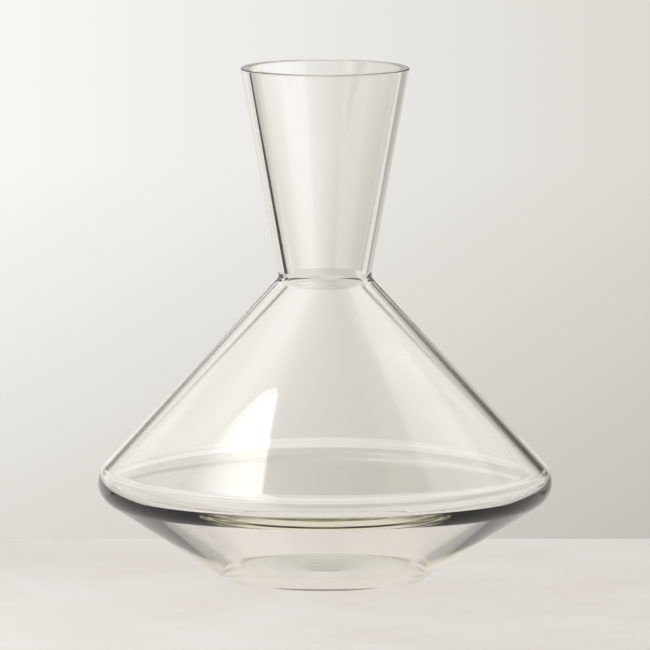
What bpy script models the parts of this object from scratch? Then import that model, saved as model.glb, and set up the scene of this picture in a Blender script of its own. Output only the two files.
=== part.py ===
"""Wine decanter in clear glass: one blown vessel, turned about the vertical axis.

Metres, +Z up. The origin is on the axis, at the level that the foot stands on.
The vessel is open at the rim and hollow down to its floor, so its wall is one closed body.
"""

import math

import bpy
from mathutils import Vector

# Outside of the vessel, from the top down
HEIGHT = 0.2430
RIM_RADIUS = 0.0400
WAIST_RADIUS = 0.0218
WAIST_HEIGHT = 0.1436
BELLY_CORNER_RADIUS = 0.11366  # where the shoulder and the lower cone would meet if the edge were sharp
BELLY_CORNER_HEIGHT = 0.0441
HEEL_CORNER_RADIUS = 0.0460  # where the lower cone would meet the table
CONTACT_INNER_RADIUS = 0.0410

# Thickness of the glass
NECK_WALL = 0.0043
SHOULDER_WALL = 0.0048
CONE_WALL_AT_BELLY = 0.0062
CONE_WALL_AT_FLOOR = 0.0079
FLOOR_TOP = 0.0058  # level of the inside floor at the axis
FLOOR_RISE = 0.0009  # how far the inside floor rises from its corner to the axis
PUNT_DEPTH = 0.0014

# Rounding radii
RIM_LIP = 0.0006
WAIST_OUTSIDE = 0.0040
WAIST_INSIDE = 0.0085
BELLY_OUTSIDE = 0.0115
BELLY_INSIDE = 0.0047
FLOOR_CORNER = 0.0018
HEEL = 0.0067
CONTACT_EDGE = 0.0030

# Fineness of the solid
TURN_STEPS = 60
ARC_STEP = math.radians(15)
WELD = 0.00001

GLASS_COLOUR = (0.93, 0.95, 0.93, 1.0)
GLASS_ROUGHNESS = 0.02
GLASS_IOR = 1.52


def clear_scene():
    for obj in list(bpy.data.objects):
        bpy.data.objects.remove(obj, do_unlink=True)


def inward(start, end):
    """The unit vector into the vessel from a stretch of its outside, which runs from top to bottom."""
    along = (end - start).normalized()
    return Vector((along.y, -along.x))


def crossing(point_a, along_a, point_b, along_b):
    """Where two lines of the section meet."""
    turn = along_a.x * along_b.y - along_a.y * along_b.x
    gap = point_b - point_a
    reach = (gap.x * along_b.y - gap.y * along_b.x) / turn
    return point_a + along_a * reach


def rounded_corner(before, corner, after, radius):
    """Points along the arc of this radius that touches both sides of a corner."""
    back = (before - corner).normalized()
    ahead = (after - corner).normalized()
    half = back.angle(ahead) / 2
    centre = corner + (back + ahead).normalized() * (radius / math.sin(half))
    start = corner + back * (radius / math.tan(half)) - centre
    sweep = math.pi - 2 * half
    if start.x * (corner - centre).y - start.y * (corner - centre).x < 0:
        sweep = -sweep
    steps = max(2, math.ceil(abs(sweep) / ARC_STEP))
    points = []
    for step in range(steps + 1):
        angle = sweep * step / steps
        cosine, sine = math.cos(angle), math.sin(angle)
        turned = Vector((start.x * cosine - start.y * sine, start.x * sine + start.y * cosine))
        points.append(centre + turned)
    return points


def outline(corners):
    """The section's points from (corner, rounding radius) pairs; a radius of 0 keeps the corner sharp."""
    points = []
    for index, (corner, radius) in enumerate(corners):
        if radius == 0:
            points.append(corner)
        else:
            points += rounded_corner(corners[index - 1][0], corner, corners[index + 1][0], radius)
    return points


def vessel_section():
    """The wall's section at +X: up the inside from the floor's middle, over the rim and down the outside."""
    rim = Vector((RIM_RADIUS, HEIGHT))
    waist = Vector((WAIST_RADIUS, WAIST_HEIGHT))
    belly = Vector((BELLY_CORNER_RADIUS, BELLY_CORNER_HEIGHT))
    heel = Vector((HEEL_CORNER_RADIUS, 0.0))

    neck_point = rim + inward(rim, waist) * NECK_WALL
    shoulder_point = belly + inward(waist, belly) * SHOULDER_WALL
    cone_top = belly + inward(belly, heel) * CONE_WALL_AT_BELLY
    cone_bottom = heel + inward(belly, heel) * CONE_WALL_AT_FLOOR
    floor_middle = Vector((0.0, FLOOR_TOP))
    floor_slope = Vector((CONTACT_INNER_RADIUS, -FLOOR_RISE))

    rim_inside = crossing(neck_point, waist - rim, rim, Vector((1.0, 0.0)))
    waist_inside = crossing(neck_point, waist - rim, shoulder_point, belly - waist)
    belly_inside = crossing(shoulder_point, belly - waist, cone_top, cone_bottom - cone_top)
    floor_edge = crossing(cone_top, cone_bottom - cone_top, floor_middle, floor_slope)

    return outline([
        (floor_middle, 0),
        (floor_edge, FLOOR_CORNER),
        (belly_inside, BELLY_INSIDE),
        (waist_inside, WAIST_INSIDE),
        (rim_inside, RIM_LIP),
        (rim, RIM_LIP),
        (waist, WAIST_OUTSIDE),
        (belly, BELLY_OUTSIDE),
        (heel, HEEL),
        (Vector((CONTACT_INNER_RADIUS, 0.0)), CONTACT_EDGE),
        (Vector((0.0, PUNT_DEPTH)), 0),
    ])


def clear_glass():
    material = bpy.data.materials.new("clear_glass")
    material.use_nodes = True
    shader = material.node_tree.nodes["Principled BSDF"]
    shader.inputs["Base Color"].default_value = GLASS_COLOUR
    shader.inputs["Metallic"].default_value = 0.0
    shader.inputs["Roughness"].default_value = GLASS_ROUGHNESS
    shader.inputs["IOR"].default_value = GLASS_IOR
    shader.inputs["Transmission Weight"].default_value = 1.0
    return material


def turned(name, section, material, collection):
    """A body turned about Z from a section at +X whose two ends lie on the axis."""
    mesh = bpy.data.meshes.new(name)
    points = [(point.x, 0.0, point.y) for point in section]
    edges = [(index, index + 1) for index in range(len(points) - 1)]
    mesh.from_pydata(points, edges, [])
    mesh.materials.append(material)
    body = bpy.data.objects.new(name, mesh)
    collection.objects.link(body)
    screw = body.modifiers.new("Turn", "SCREW")
    screw.axis = "Z"
    screw.angle = math.tau
    screw.steps = TURN_STEPS
    screw.render_steps = TURN_STEPS
    screw.use_merge_vertices = True
    screw.merge_threshold = WELD
    screw.use_smooth_shade = True
    return body


def main():
    clear_scene()
    collection = bpy.data.collections.new("wine_decanter")
    bpy.context.scene.collection.children.link(collection)
    turned("decanter_body", vessel_section(), clear_glass(), collection)


main()
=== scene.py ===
"""Wine decanter: the vessel in fine clear glass, on a pale stone table in soft studio light.

The file is laid out as a Blender add-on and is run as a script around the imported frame.
Metres, +Z up. The vessel stands on the origin and is seen from -Y.
"""

import math
from typing import NamedTuple

import bmesh
import bpy
from bpy.props import FloatProperty, FloatVectorProperty, IntProperty, PointerProperty, StringProperty
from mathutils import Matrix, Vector


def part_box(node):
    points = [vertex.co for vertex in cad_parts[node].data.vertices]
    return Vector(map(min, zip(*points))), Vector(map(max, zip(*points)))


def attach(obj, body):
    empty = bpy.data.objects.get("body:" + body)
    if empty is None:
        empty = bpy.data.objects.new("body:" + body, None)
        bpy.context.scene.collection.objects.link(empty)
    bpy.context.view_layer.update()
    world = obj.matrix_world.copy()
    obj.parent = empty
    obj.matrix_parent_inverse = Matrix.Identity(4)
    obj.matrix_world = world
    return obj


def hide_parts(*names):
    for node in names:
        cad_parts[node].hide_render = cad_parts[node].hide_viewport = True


bl_info = {
    "name": "Wine Decanter",
    "version": (1, 0, 0),
    "blender": (4, 5, 0),
    "location": "3D View > Sidebar > Decanter",
    "description": "Builds a clear glass wine decanter and the table and light that it stands in",
    "category": "Add Mesh",
}

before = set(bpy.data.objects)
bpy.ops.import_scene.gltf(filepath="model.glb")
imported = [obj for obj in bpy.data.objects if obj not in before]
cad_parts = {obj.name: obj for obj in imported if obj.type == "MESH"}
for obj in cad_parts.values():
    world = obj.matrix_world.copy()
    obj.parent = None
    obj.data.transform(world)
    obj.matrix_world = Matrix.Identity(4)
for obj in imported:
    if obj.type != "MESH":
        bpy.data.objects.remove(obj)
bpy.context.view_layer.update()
VESSEL_NODE = "decanter_body"
VESSEL_BODY = "root"
CAD_LOW, CAD_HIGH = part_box(VESSEL_NODE)

MM = 0.001


def length(name, description, default, least=0.0):
    """A size in metres that shows in the sidebar in the scene's own unit."""
    return FloatProperty(
        name=name, description=description, default=default, min=least, unit="LENGTH", precision=5
    )


def hex_colour(name, description, default):
    """A colour kept as an sRGB hex value."""
    return StringProperty(name=name, description=description, default=default, maxlen=7)


def linear(value, alpha=1.0):
    """An sRGB hex value as the linear colour that shaders work in."""
    channels = [int(value[start : start + 2], 16) / 255 for start in (1, 3, 5)]
    return (*(c / 12.92 if c <= 0.04045 else ((c + 0.055) / 1.055) ** 2.4 for c in channels), alpha)


# ---------------------------------------------------------------- sizes and colours


class DecanterSizes(bpy.types.PropertyGroup):
    """The outside of the vessel, its wall and its roundings."""

    height: length("Height", "From the table to the top of the rim", CAD_HIGH.z - CAD_LOW.z)
    rim_radius: length("Rim radius", "Outside radius of the mouth", 40.0 * MM)
    waist_radius: length("Waist radius", "Outside radius where the neck meets the shoulder", 21.8 * MM)
    waist_height: length("Waist height", "Height of the crease between neck and shoulder", 143.6 * MM)
    belly_radius: length("Belly corner radius", "Where shoulder and bowl would meet if sharp", 113.66 * MM)
    belly_height: length("Belly corner height", "Height of that corner", 44.1 * MM)
    heel_radius: length("Heel radius", "Where the bowl would meet the table", 46.0 * MM)
    punt_radius: length("Punt radius", "Radius of the hollow under the foot", 41.0 * MM)
    punt_depth: length("Punt depth", "Rise of the underside at its middle", 1.4 * MM)

    neck_wall: length("Neck wall", "Thickness of the neck", 4.3 * MM)
    shoulder_wall: length("Shoulder wall", "Thickness of the shoulder", 4.8 * MM)
    bowl_wall_top: length("Bowl wall, top", "Thickness of the bowl at the belly", 6.2 * MM)
    bowl_wall_foot: length("Bowl wall, foot", "Thickness of the bowl at the foot", 7.9 * MM)
    floor: length("Floor", "Level of the inside floor at the axis", 5.8 * MM)
    floor_rise: length("Floor rise", "How far the inside floor rises from its corner to the axis", 0.9 * MM)

    lip: length("Lip rounding", "Polished edge of the rim", 0.6 * MM)
    waist_outside: length("Waist rounding, outside", "Rounding of the crease outside", 4.0 * MM)
    waist_inside: length("Waist rounding, inside", "Rounding of the crease inside", 8.5 * MM)
    belly_outside: length("Belly rounding, outside", "Rounding of the widest edge outside", 11.5 * MM)
    belly_inside: length("Belly rounding, inside", "Rounding of the widest edge inside", 4.7 * MM)
    floor_inside: length("Floor rounding", "Rounding where the bowl meets its floor", 1.8 * MM)
    heel: length("Heel rounding", "Rounding where the bowl meets the table", 6.7 * MM)
    punt_edge: length("Punt rounding", "Rounding at the edge of the hollow under the foot", 3.0 * MM)


class DecanterGlass(bpy.types.PropertyGroup):
    """Clear crystalline glass, blown into a turning mould."""

    body_tint: hex_colour("Glass tint", "Colour of the light that thick glass lets through", "#F5EEB4")
    tint_density: FloatProperty(name="Tint density", description="Strength of the tint", default=4.5, min=0.0)
    ior: FloatProperty(name="IOR", description="Refractive index", default=1.52, min=1.0, max=2.0)
    turn_steps: IntProperty(name="Turn steps", description="Facets round the vessel", default=288, min=24)


class DecanterStage(bpy.types.PropertyGroup):
    """The table, the pale wall behind it, the lamps and the camera."""

    camera_distance: length("Camera distance", "From the vessel's axis, level with the table", 5.284)
    camera_height: length("Camera height", "Above the table", 0.762)
    camera_pitch: FloatProperty(
        name="Camera pitch", description="Downward tilt", default=math.radians(6.92), subtype="ANGLE"
    )
    lens: FloatProperty(name="Lens", description="Focal length in mm", default=623.7, min=1.0)
    sensor: FloatProperty(name="Sensor", description="Width of the sensor in mm", default=36.0, min=1.0)
    table_back: length("Table back", "From the axis to the table's far edge", 133.0 * MM)
    table_colour: hex_colour("Stone", "Colour of the pale stone", "#F7F8FA")
    vein_colour: hex_colour("Stone clouds", "Colour of the stone's faint clouds", "#E4DAD4")
    softbox_place: FloatVectorProperty(
        name="Softbox place",
        description="Middle of the softbox",
        default=(-0.188, -0.075, 0.394),
        subtype="XYZ",
    )
    softbox_tilt: FloatProperty(
        name="Softbox tilt",
        description="Lean of the softbox over the table",
        default=math.radians(26.8),
        subtype="ANGLE",
    )
    softbox_near: length("Softbox, near side", "Reach of the softbox towards the vessel", 35 * MM)
    softbox_far: length("Softbox, far side", "Reach of the softbox away from the vessel", 150 * MM)
    softbox_back: length("Softbox, back", "Reach of the softbox away from the camera", -7 * MM, least=-1.0)
    softbox_front: length("Softbox, front", "Reach of the softbox towards the camera", 260 * MM)
    softbox_slant: FloatProperty(name="Softbox slant", description="Slant of its back edge", default=0.72)
    softbox_strength: FloatProperty(name="Softbox strength", description="Glow of its lamp side", default=4.3)
    lamp_colour: hex_colour("Lamp", "Colour of the softbox's light", "#FFFBF8")
    wall_light: hex_colour("Wall, lit", "Colour of the light from the brightest part of the wall", "#FFFDFA")
    wall_shade: hex_colour("Wall, shaded", "Colour of the light from its dimmer part", "#FFFCF1")


GROUPS = {"decanter_sizes": DecanterSizes, "decanter_glass": DecanterGlass, "decanter_stage": DecanterStage}


# ---------------------------------------------------------------- the vessel's section


ARC_STEP = math.radians(2.5)
STRAIGHT_STEP = 12.0 * MM
BEND_MARGIN = 0.4 * MM
ON_AXIS = 0.01 * MM


def inward(start, end):
    """The unit vector into the vessel from a stretch of its outside, which runs from top to bottom."""
    along = (end - start).normalized()
    return Vector((along.y, -along.x))


def crossing(point_a, along_a, point_b, along_b):
    """Where two lines of the section meet."""
    turn = along_a.x * along_b.y - along_a.y * along_b.x
    gap = point_b - point_a
    reach = (gap.x * along_b.y - gap.y * along_b.x) / turn
    return point_a + along_a * reach


def rounded_corner(before, corner, after, radius):
    """Points along the arc of this radius that touches both sides of a corner."""
    back = (before - corner).normalized()
    ahead = (after - corner).normalized()
    half = back.angle(ahead) / 2
    centre = corner + (back + ahead).normalized() * (radius / math.sin(half))
    start = corner + back * (radius / math.tan(half)) - centre
    sweep = math.pi - 2 * half
    if start.x * (corner - centre).y - start.y * (corner - centre).x < 0:
        sweep = -sweep
    steps = max(2, math.ceil(abs(sweep) / ARC_STEP))
    points = []
    for step in range(steps + 1):
        angle = sweep * step / steps
        cosine, sine = math.cos(angle), math.sin(angle)
        turned = Vector((start.x * cosine - start.y * sine, start.x * sine + start.y * cosine))
        points.append(centre + turned)
    return points


def outline(corners):
    """Section points from (corner, rounding radius) pairs, with points added along each straight stretch.

    The first and last of those points stand close to the bends, so that smooth shading stays true to them.
    """
    bends = []
    for index, (corner, radius) in enumerate(corners):
        if radius == 0:
            bends.append([corner])
        else:
            bends.append(rounded_corner(corners[index - 1][0], corner, corners[index + 1][0], radius))
    points = []
    for bend, following in zip(bends, bends[1:] + [None]):
        points += bend
        if following:
            along = (following[0] - bend[-1]).normalized()
            start = bend[-1] + along * BEND_MARGIN
            gap = following[0] - along * BEND_MARGIN - start
            steps = max(1, round(gap.length / STRAIGHT_STEP))
            points += [start + gap * (step / steps) for step in range(steps + 1)]
    return points


def vessel_section(sizes):
    """The wall's section at +X: up the inside from the floor's middle, over the rim and down the outside."""
    rim = Vector((sizes.rim_radius, sizes.height))
    waist = Vector((sizes.waist_radius, sizes.waist_height))
    belly = Vector((sizes.belly_radius, sizes.belly_height))
    heel = Vector((sizes.heel_radius, 0.0))

    neck_point = rim + inward(rim, waist) * sizes.neck_wall
    shoulder_point = belly + inward(waist, belly) * sizes.shoulder_wall
    bowl_top = belly + inward(belly, heel) * sizes.bowl_wall_top
    bowl_foot = heel + inward(belly, heel) * sizes.bowl_wall_foot
    floor_middle = Vector((0.0, sizes.floor))
    floor_slope = Vector((sizes.punt_radius, -sizes.floor_rise))

    rim_inside = crossing(neck_point, waist - rim, rim, Vector((1.0, 0.0)))
    waist_inside = crossing(neck_point, waist - rim, shoulder_point, belly - waist)
    belly_inside = crossing(shoulder_point, belly - waist, bowl_top, bowl_foot - bowl_top)
    floor_edge = crossing(bowl_top, bowl_foot - bowl_top, floor_middle, floor_slope)

    return outline([
        (floor_middle, 0),
        (floor_edge, sizes.floor_inside),
        (belly_inside, sizes.belly_inside),
        (waist_inside, sizes.waist_inside),
        (rim_inside, sizes.lip),
        (rim, sizes.lip),
        (waist, sizes.waist_outside),
        (belly, sizes.belly_outside),
        (heel, sizes.heel),
        (Vector((sizes.punt_radius, 0.0)), sizes.punt_edge),
        (Vector((0.0, sizes.punt_depth)), 0),
    ])


# ---------------------------------------------------------------- materials


def add_node(tree, kind, inputs=None, **settings):
    """A node with its settings, and with each named input set to a value or linked from a socket."""
    node = tree.nodes.new(kind)
    for name, value in settings.items():
        setattr(node, name, value)
    for name, value in (inputs or {}).items():
        socket = node.inputs[name]
        if isinstance(value, bpy.types.NodeSocket):
            tree.links.new(value, socket)
        else:
            socket.default_value = value
    return node


FOOT_WEAR_HEIGHT = 0.5 * MM
FOOT_WEAR_ROUGHNESS = 0.25


def mould_blown_glass(finish):
    """Clear glass blown in a turning mould.

    The skin of such glass has never been ground, so it reflects and bends light without any blur. Only the
    underside within half a millimetre of the table has been dulled. Thick places show a faint cream cast.
    """
    material = bpy.data.materials.new("clear_glass_mould_blown")
    material.use_nodes = True
    tree = material.node_tree
    tree.nodes.clear()

    place = add_node(tree, "ShaderNodeTexCoord").outputs["Object"]
    height = add_node(tree, "ShaderNodeSeparateXYZ", {"Vector": place}).outputs["Z"]
    wear = add_node(
        tree,
        "ShaderNodeMapRange",
        {"Value": height, "From Max": FOOT_WEAR_HEIGHT, "To Min": FOOT_WEAR_ROUGHNESS, "To Max": 0.0},
    )
    glass = add_node(
        tree,
        "ShaderNodeBsdfPrincipled",
        {
            "Base Color": (1.0, 1.0, 1.0, 1.0),
            "Metallic": 0.0,
            "Roughness": wear.outputs["Result"],
            "IOR": finish.ior,
            "Transmission Weight": 1.0,
        },
    )
    tint = add_node(
        tree,
        "ShaderNodeVolumeAbsorption",
        {"Color": linear(finish.body_tint), "Density": finish.tint_density},
    )
    add_node(
        tree,
        "ShaderNodeOutputMaterial",
        {"Surface": glass.outputs["BSDF"], "Volume": tint.outputs["Volume"]},
    )
    return material


STONE_CLOUD = 90.0 * MM
STONE_CLOUD_DETAIL = 6.0
STONE_CLOUD_ROUGHNESS = 0.6
STONE_ROUGHNESS = 0.45
STONE_IOR = 1.5


def honed_stone(stage):
    """Pale limestone, sawn and honed: soft warm clouds, and a sheen too low to mirror the vessel."""
    material = bpy.data.materials.new("pale_stone_honed")
    material.use_nodes = True
    tree = material.node_tree
    tree.nodes.clear()
    place = add_node(tree, "ShaderNodeTexCoord").outputs["Object"]
    clouds = add_node(
        tree,
        "ShaderNodeTexNoise",
        {
            "Vector": place,
            "Scale": 1 / STONE_CLOUD,
            "Detail": STONE_CLOUD_DETAIL,
            "Roughness": STONE_CLOUD_ROUGHNESS,
        },
    )
    colour = add_node(tree, "ShaderNodeMix", {"Factor": clouds.outputs["Fac"]}, data_type="RGBA")
    colour.inputs["A"].default_value = linear(stage.table_colour)
    colour.inputs["B"].default_value = linear(stage.vein_colour)
    stone = add_node(
        tree,
        "ShaderNodeBsdfPrincipled",
        {"Base Color": colour.outputs["Result"], "Roughness": STONE_ROUGHNESS, "IOR": STONE_IOR},
    )
    add_node(tree, "ShaderNodeOutputMaterial", {"Surface": stone.outputs["BSDF"]})
    return material


def softbox_cloth(stage, centre, across):
    """White diffusing cloth over a lamp: bright by the lamp and fading towards the far side of the box."""
    material = bpy.data.materials.new("diffusing_cloth_lit")
    material.use_nodes = True
    tree = material.node_tree
    tree.nodes.clear()
    place = add_node(tree, "ShaderNodeNewGeometry").outputs["Position"]
    offset = add_node(tree, "ShaderNodeVectorMath", {0: place, 1: centre}, operation="SUBTRACT")
    reach = add_node(
        tree, "ShaderNodeVectorMath", {0: offset.outputs["Vector"], 1: across}, operation="DOT_PRODUCT"
    ).outputs["Value"]
    fade = add_node(
        tree,
        "ShaderNodeMapRange",
        {
            "Value": reach,
            "From Min": -stage.softbox_far,
            "From Max": 0.0,
            "To Min": 0.0,
            "To Max": stage.softbox_strength,
        },
        interpolation_type="SMOOTHSTEP",
    ).outputs["Result"]
    glow = add_node(tree, "ShaderNodeEmission", {"Color": linear(stage.lamp_colour), "Strength": fade})
    add_node(tree, "ShaderNodeOutputMaterial", {"Surface": glow.outputs["Emission"]})
    return material


# ---------------------------------------------------------------- light from all round


class Card(NamedTuple):
    """A pale or dark panel of the studio, as a patch of directions round the vessel, in degrees.

    Azimuth runs from straight ahead (+Y), to the right (+X) positive; elevation runs up from the level.
    A card may reach past 180 degrees, so that its soft end isn't seen.
    """

    left: float
    right: float
    bottom: float
    top: float
    softness: float
    brightness: float


# Painted one over the other, from the far walls to the backdrop
STUDIO_CARDS = (
    Card(-200, 200, -90, 90, 10, 1.08),  # white room
    Card(-100, 100, -90, 90, 12, 0.80),  # its dimmer half ahead
    Card(-200, -150, -10, 34, 14, 0.30),  # dark doorway behind the camera, left of its middle
    Card(150, 200, -10, 34, 14, 0.30),  # the doorway's right half
    Card(-200, 200, 66, 90, 10, 0.42),  # unlit ceiling
    Card(-30, 24, 40, 90, 10, 0.36),  # its darkest part, ahead
    Card(-64, -10, 28, 64, 10, 0.60),  # shaded wall on the left
    Card(28, 84, 24, 66, 8, 1.02),  # white reflector on the right
    Card(46, 83, 36, 60, 5, 1.6),  # softbox on the right
    Card(-38, -22, -14, 32, 6, 0.90),  # white reflector on the left
    Card(11, 27, -12, 28, 5, 0.54),  # shaded wall on the right
    Card(13, 21, 1, 13, 3, 0.03),  # black flag on the right
    Card(-18, -12, 3, 9, 2, 0.10),  # black flag on the left
    Card(-68, -39, -20, -9, 3, 0.02),  # black flag low on the left
    Card(22, 36, -15, -9, 3, 0.35),  # grey flag low on the right
)


ROOM_LIGHT = 0.55

# The backdrop, in degrees like the cards: evenly lit, dimmer to the right and towards the table
BACKDROP_SIDES, SIDE_SOFTNESS = (-13, 12), 6
BACKDROP_ENDS, END_SOFTNESS = (-95, 3), 4
BACKDROP_LEFT, BACKDROP_RIGHT = -1.65, 1.65
LEFT_BRIGHTNESS, RIGHT_BRIGHTNESS = 0.945, 0.72
FADE_START, FADE_END = -6.1, -8.0
FADED_TO = 0.77

# The dimmest and the brightest part of the wall, between which its colour changes
SHADE_BRIGHTNESS, LIGHT_BRIGHTNESS = 0.55, 0.95


def arithmetic(tree, operation, first, second=0.0):
    """The result of one sum."""
    return add_node(tree, "ShaderNodeMath", {0: first, 1: second}, operation=operation).outputs["Value"]


def window(tree, angle, low, high, softness):
    """1 between two angles and 0 outside them, with soft ends."""
    starts, ends = (
        add_node(
            tree,
            "ShaderNodeMapRange",
            {"Value": angle, "From Min": edge - softness / 2, "From Max": edge + softness / 2},
            interpolation_type="SMOOTHSTEP",
        ).outputs["Result"]
        for edge in (low, high)
    )
    return arithmetic(tree, "SUBTRACT", starts, ends)


def hung_card(tree, across, upright, behind, brightness):
    """The light with one more card, as wide and as high as its two windows, in front of what is behind it."""
    cover = arithmetic(tree, "MULTIPLY", across, upright)
    mix = add_node(tree, "ShaderNodeMix", {"Factor": cover, "A": behind, "B": brightness}, data_type="FLOAT")
    return mix.outputs["Result"]


def studio_light(stage):
    """The world: pale cards and dark gaps round the table, and the evenly lit backdrop straight ahead."""
    world = bpy.data.worlds.new("pale_studio")
    world.use_nodes = True
    tree = world.node_tree
    tree.nodes.clear()
    place = add_node(tree, "ShaderNodeTexCoord").outputs["Generated"]
    direction = add_node(tree, "ShaderNodeSeparateXYZ", {"Vector": place}).outputs
    turn = arithmetic(tree, "ARCTAN2", direction["X"], direction["Y"])
    rise = arithmetic(tree, "ARCSINE", direction["Z"])
    azimuth = arithmetic(tree, "DEGREES", turn)
    elevation = arithmetic(tree, "DEGREES", rise)

    light = ROOM_LIGHT
    for card in STUDIO_CARDS:
        across = window(tree, azimuth, card.left, card.right, card.softness)
        upright = window(tree, elevation, card.bottom, card.top, card.softness)
        light = hung_card(tree, across, upright, light, card.brightness)

    fall = add_node(
        tree,
        "ShaderNodeMapRange",
        {
            "Value": azimuth,
            "From Min": BACKDROP_LEFT,
            "From Max": BACKDROP_RIGHT,
            "To Min": LEFT_BRIGHTNESS,
            "To Max": RIGHT_BRIGHTNESS,
        },
    ).outputs["Result"]
    fade = add_node(
        tree,
        "ShaderNodeMapRange",
        {"Value": elevation, "From Min": FADE_START, "From Max": FADE_END, "To Min": 1.0, "To Max": FADED_TO},
    ).outputs["Result"]
    across = window(tree, azimuth, *BACKDROP_SIDES, SIDE_SOFTNESS)
    upright = window(tree, elevation, *BACKDROP_ENDS, END_SOFTNESS)
    light = hung_card(tree, across, upright, light, arithmetic(tree, "MULTIPLY", fall, fade))

    warmth = add_node(
        tree,
        "ShaderNodeMapRange",
        {"Value": light, "From Min": SHADE_BRIGHTNESS, "From Max": LIGHT_BRIGHTNESS},
    ).outputs["Result"]
    colour = add_node(tree, "ShaderNodeMix", {"Factor": warmth}, data_type="RGBA")
    colour.inputs["A"].default_value = linear(stage.wall_shade)
    colour.inputs["B"].default_value = linear(stage.wall_light)
    glow = add_node(tree, "ShaderNodeBackground", {"Color": colour.outputs["Result"], "Strength": light})
    add_node(tree, "ShaderNodeOutputWorld", {"Surface": glow.outputs["Background"]})
    return world


# ---------------------------------------------------------------- table, softbox and camera


TABLE_WIDTH = 3.0
TABLE_FRONT = -1.6
TABLE_THICKNESS = 0.03
NEAREST_SEEN = 0.1
FARTHEST_SEEN = 50.0


def stone_table(scene, stage):
    """The table's slab, with its far edge behind the vessel."""
    mesh = bpy.data.meshes.new("stone_table")
    slab = bmesh.new()
    bmesh.ops.create_cube(slab, size=1.0)
    for vert in slab.verts:
        vert.co.x *= TABLE_WIDTH
        vert.co.y = stage.table_back if vert.co.y > 0 else TABLE_FRONT
        vert.co.z = 0.0 if vert.co.z > 0 else -TABLE_THICKNESS
    slab.to_mesh(mesh)
    slab.free()
    mesh.materials.append(honed_stone(stage))
    table = bpy.data.objects.new("stone_table", mesh)
    scene.collection.objects.link(table)


def hung_softbox(scene, stage):
    """The near softbox that shows in the left shoulder, leaning over the table, with a slanted back edge."""
    across = Vector((math.cos(stage.softbox_tilt), 0.0, math.sin(stage.softbox_tilt)))
    along = Vector((0.0, 1.0, 0.0))
    centre = Vector(stage.softbox_place)
    near, far = stage.softbox_near, -stage.softbox_far
    corners = (
        (near, stage.softbox_back),
        (far, stage.softbox_back + (near - far) * stage.softbox_slant),
        (far, -stage.softbox_front),
        (near, -stage.softbox_front),
    )
    mesh = bpy.data.meshes.new("softbox")
    panel = bmesh.new()
    panel.faces.new([panel.verts.new(centre + across * u + along * v) for u, v in corners])
    panel.to_mesh(mesh)
    panel.free()
    mesh.materials.append(softbox_cloth(stage, centre, across))
    softbox = bpy.data.objects.new("softbox", mesh)
    # Hidden from the camera itself, because it would stand in the way of views from the side and from above
    softbox.visible_camera = False
    scene.collection.objects.link(softbox)


def placed_camera(scene, stage):
    """The camera, in front of the vessel and a little above it."""
    data = bpy.data.cameras.new("camera")
    data.lens = stage.lens
    data.sensor_width = stage.sensor
    data.clip_start = NEAREST_SEEN
    data.clip_end = FARTHEST_SEEN
    camera = bpy.data.objects.new("camera", data)
    camera.location = (0.0, -stage.camera_distance, stage.camera_height)
    camera.rotation_euler = (math.pi / 2 - stage.camera_pitch, 0.0, 0.0)
    scene.collection.objects.link(camera)
    return camera


# ---------------------------------------------------------------- operators


# How far a ray is followed. Real glass goes on reflecting: stopping at this many reflections is a choice of
# look, and it is part of what makes the ends of the belly dark
LONGEST_PATH = 40
MOST_CROSSINGS = 32
MOST_REFLECTIONS = 14


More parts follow.
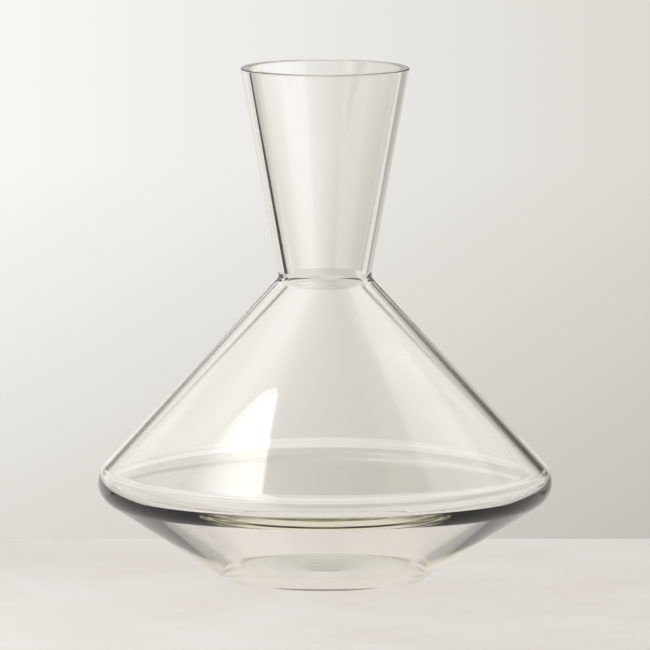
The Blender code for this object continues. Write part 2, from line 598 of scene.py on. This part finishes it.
class DECANTER_OT_blow_vessel(bpy.types.Operator):
    """Build the vessel as one seamless wall of glass"""

    bl_idname = "decanter.blow_vessel"
    bl_label = "Blow Vessel"

    def execute(self, context):
        scene = context.scene
        sizes, finish = scene.decanter_sizes, scene.decanter_glass
        points = vessel_section(sizes)
        mesh = bpy.data.meshes.new("decanter_glass")
        body = bmesh.new()
        rings = []
        for point in points:
            if point.x < ON_AXIS:
                rings.append([body.verts.new((0.0, 0.0, point.y))])
                continue
            ring = []
            for step in range(finish.turn_steps):
                angle = math.tau * step / finish.turn_steps
                ring.append(body.verts.new((point.x * math.cos(angle), point.x * math.sin(angle), point.y)))
            rings.append(ring)
        for lower, upper in zip(rings, rings[1:]):
            for step in range(finish.turn_steps):
                following = (step + 1) % finish.turn_steps
                if len(lower) == 1:
                    corners = [lower[0], upper[following], upper[step]]
                elif len(upper) == 1:
                    corners = [lower[step], lower[following], upper[0]]
                else:
                    corners = [lower[step], lower[following], upper[following], upper[step]]
                body.faces.new(corners).smooth = True
        bmesh.ops.recalc_face_normals(body, faces=body.faces)
        body.to_mesh(mesh)
        body.free()
        mesh.materials.append(mould_blown_glass(finish))
        vessel = bpy.data.objects.new("decanter_glass", mesh)
        scene.collection.objects.link(vessel)
        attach(vessel, VESSEL_BODY)
        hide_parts(VESSEL_NODE)
        # A choice of look, not what glass does: the vessel leaves no shadow on the table
        vessel.visible_shadow = False
        vessel.visible_diffuse = False
        return {"FINISHED"}


class DECANTER_OT_set_stage(bpy.types.Operator):
    """Set up the table, the pale wall, the lamps and the camera"""

    bl_idname = "decanter.set_stage"
    bl_label = "Set Stage"

    def execute(self, context):
        scene = context.scene
        stage = scene.decanter_stage
        stone_table(scene, stage)
        hung_softbox(scene, stage)
        scene.camera = placed_camera(scene, stage)
        scene.world = studio_light(stage)
        scene.view_settings.view_transform = "Standard"
        scene.cycles.max_bounces = LONGEST_PATH
        scene.cycles.transmission_bounces = MOST_CROSSINGS
        scene.cycles.glossy_bounces = MOST_REFLECTIONS
        scene.cycles.use_denoising = True
        return {"FINISHED"}


class DECANTER_PT_panel(bpy.types.Panel):
    """The vessel and its stage, each with its sizes and colours"""

    bl_idname = "DECANTER_PT_panel"
    bl_label = "Decanter"
    bl_space_type = "VIEW_3D"
    bl_region_type = "UI"
    bl_category = "Decanter"

    def draw(self, context):
        for operator, groups in (
            (DECANTER_OT_blow_vessel, ("decanter_sizes", "decanter_glass")),
            (DECANTER_OT_set_stage, ("decanter_stage",)),
        ):
            box = self.layout.box()
            box.operator(operator.bl_idname)
            for group in groups:
                settings = getattr(context.scene, group)
                for name in settings.__annotations__:
                    box.prop(settings, name)


CLASSES = (
    *GROUPS.values(),
    DECANTER_OT_blow_vessel,
    DECANTER_OT_set_stage,
    DECANTER_PT_panel,
)


def register():
    for entry in CLASSES:
        bpy.utils.register_class(entry)
    for name, group in GROUPS.items():
        setattr(bpy.types.Scene, name, PointerProperty(type=group))


def unregister():
    for name in GROUPS:
        delattr(bpy.types.Scene, name)
    for entry in reversed(CLASSES):
        bpy.utils.unregister_class(entry)


def main():
    register()
    bpy.ops.decanter.blow_vessel()
    bpy.ops.decanter.set_stage()


if __name__ == "__main__":
    main()
